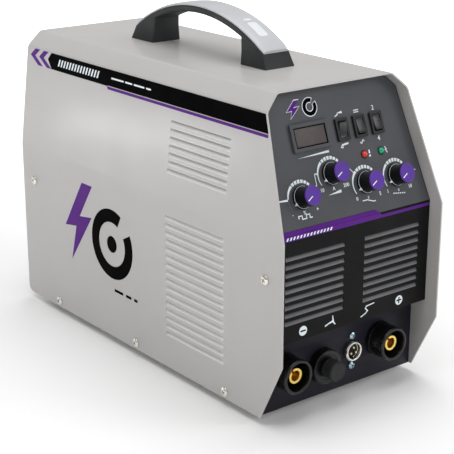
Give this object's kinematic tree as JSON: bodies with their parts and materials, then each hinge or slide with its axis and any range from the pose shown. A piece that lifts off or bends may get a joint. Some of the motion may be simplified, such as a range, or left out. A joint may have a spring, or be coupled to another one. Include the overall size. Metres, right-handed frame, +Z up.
{
  "type": "tig welding machine",
  "caption": "Portable inverter TIG welding machine with a folded steel cover, louvred front, control knobs, weld sockets and carrying handle.",
  "frame": {"origin": "on the floor under the middle of the machine", "axes": "+X to the right seen from the front, +Y to the rear along the machine, +Z up"},
  "size_m": [0.2, 0.45, 0.3575],
  "materials": {
    "cover_paint": "warm grey powder coat with a fine texture",
    "chassis_paint": "dark powder coat",
    "front_paint": "satin dark grey print over black paint",
    "socket_panel_paint": "dark blue-black satin paint",
    "foot_rubber": "matt black rubber",
    "knob_cap_plastic": "purple moulded plastic",
    "knob_plastic": "black moulded plastic",
    "pot_metal": "plated steel can",
    "switch_plastic": "black moulded plastic",
    "mains_rocker_plastic": "red moulded plastic",
    "bezel_plastic": "grey moulded plastic",
    "window_plastic": "smoked acrylic",
    "lamp_red": "red lens",
    "lamp_green": "green lens",
    "board_laminate": "glass-epoxy board with green mask",
    "socket_plastic": "black moulded polyamide",
    "brass": "machined brass",
    "cap_rubber": "black moulded rubber",
    "chrome": "bright nickel-chrome plate",
    "pin_plating": "plated pins in a dark insert",
    "zinc_steel": "bright zinc plate",
    "handle_plastic": "black moulded plastic",
    "strip_plastic": "light grey moulded plastic",
    "gland_plastic": "black nylon",
    "fan_plastic": "black glass-filled plastic",
    "aluminium": "extruded aluminium",
    "core_ferrite": "ferrite core with taped winding",
    "winding_copper": "enamelled copper winding",
    "shelf_steel": "plain galvanised steel",
    "capacitor_sleeve": "dark heat-shrink sleeve",
    "hose_rubber": "grey-blue gas hose"
  },
  "bodies": {
    "chassis": {"cover": "cover_paint", "base_tray": "chassis_paint", "potentiometer_balance": "pot_metal", "potentiometer_current": "pot_metal", "potentiometer_slope": "pot_metal", "potentiometer_gas": "pot_metal", "switch_body_process": "switch_plastic", "switch_body_polarity": "switch_plastic", "switch_body_trigger": "switch_plastic", "display_bezel": "bezel_plastic", "display_window": "window_plastic", "indicator_fault": "lamp_red", "indicator_power": "lamp_green", "control_board": "board_laminate", "front_panel": "front_paint", "socket_panel": "socket_panel_paint", "output_socket_negative": "socket_plastic", "socket_contact_negative": "brass", "output_socket_positive": "socket_plastic", "socket_contact_positive": "brass", "torch_connector": "socket_plastic", "control_socket_shell": "chrome", "control_socket_pins": "pin_plating", "control_socket_screw_upper": "zinc_steel", "control_socket_screw_lower": "zinc_steel", "handle": "handle_plastic", "handle_strip": "strip_plastic", "rear_panel": "chassis_paint", "mains_switch_body": "switch_plastic", "supply_gland": "gland_plastic", "gas_inlet": "brass", "earth_stud": "zinc_steel", "fan_frame": "fan_plastic", "fan_guard": "zinc_steel", "heatsink": "aluminium", "main_transformer": "core_ferrite", "output_choke": "winding_copper", "chassis_shelf": "shelf_steel", "power_board": "board_laminate", "capacitor_bank": "capacitor_sleeve", "gas_valve": "brass", "gas_hose": "hose_rubber", "foot_front_left": "foot_rubber", "foot_front_right": "foot_rubber", "foot_rear_left": "foot_rubber", "foot_rear_right": "foot_rubber"},
    "knob_balance_body": {"knob_balance": "knob_plastic", "knob_cap_balance": "knob_cap_plastic"},
    "knob_current_body": {"knob_current": "knob_plastic", "knob_cap_current": "knob_cap_plastic"},
    "knob_slope_body": {"knob_slope": "knob_plastic", "knob_cap_slope": "knob_cap_plastic"},
    "knob_gas_body": {"knob_gas": "knob_plastic", "knob_cap_gas": "knob_cap_plastic"},
    "switch_rocker_process_body": {"switch_rocker_process": "switch_plastic"},
    "switch_rocker_polarity_body": {"switch_rocker_polarity": "switch_plastic"},
    "switch_rocker_trigger_body": {"switch_rocker_trigger": "switch_plastic"},
    "mains_rocker_body": {"mains_switch_rocker": "mains_rocker_plastic"},
    "fan_rotor_body": {"fan_rotor": "fan_plastic"},
    "dust_cap_body": {"torch_dust_cap": "cap_rubber"}
  },
  "joints": [
    {"name": "balance_knob_turn", "type": "hinge", "parent": "chassis", "child": "knob_balance_body", "pos_m": [-0.0575, -0.20674, 0.21685], "axis": [0, 0.9377, -0.3473], "range_deg": [0, 300]},
    {"name": "current_knob_turn", "type": "hinge", "parent": "chassis", "child": "knob_current_body", "pos_m": [-0.018, -0.20153, 0.23092], "axis": [0, 0.9377, -0.3473], "range_deg": [0, 300]},
    {"name": "slope_knob_turn", "type": "hinge", "parent": "chassis", "child": "knob_slope_body", "pos_m": [0.021, -0.20674, 0.21685], "axis": [0, 0.9377, -0.3473], "range_deg": [0, 300]},
    {"name": "gas_knob_turn", "type": "hinge", "parent": "chassis", "child": "knob_gas_body", "pos_m": [0.0605, -0.20674, 0.21685], "axis": [0, 0.9377, -0.3473], "range_deg": [0, 300]},
    {"name": "process_switch_rock", "type": "hinge", "parent": "chassis", "child": "switch_rocker_process_body", "pos_m": [0.006, -0.18211, 0.26318], "axis": [1, 0, 0], "range_deg": [-20, 0]},
    {"name": "polarity_switch_rock", "type": "hinge", "parent": "chassis", "child": "switch_rocker_polarity_body", "pos_m": [0.028, -0.18211, 0.26318], "axis": [1, 0, 0], "range_deg": [0, 20]},
    {"name": "trigger_switch_rock", "type": "hinge", "parent": "chassis", "child": "switch_rocker_trigger_body", "pos_m": [0.0495, -0.18211, 0.26318], "axis": [1, 0, 0], "range_deg": [0, 20]},
    {"name": "mains_switch_rock", "type": "hinge", "parent": "chassis", "child": "mains_rocker_body", "pos_m": [0.058, 0.1986, 0.246], "axis": [1, 0, 0], "range_deg": [-20, 0]},
    {"name": "fan_spin", "type": "hinge", "parent": "chassis", "child": "fan_rotor_body", "pos_m": [0, 0.178, 0.113], "axis": [0, 1, 0], "continuous": true},
    {"name": "dust_cap_pull", "type": "slide", "parent": "chassis", "child": "dust_cap_body", "axis": [0, -1, 0], "range_m": [0, 0.022]}
  ]
}
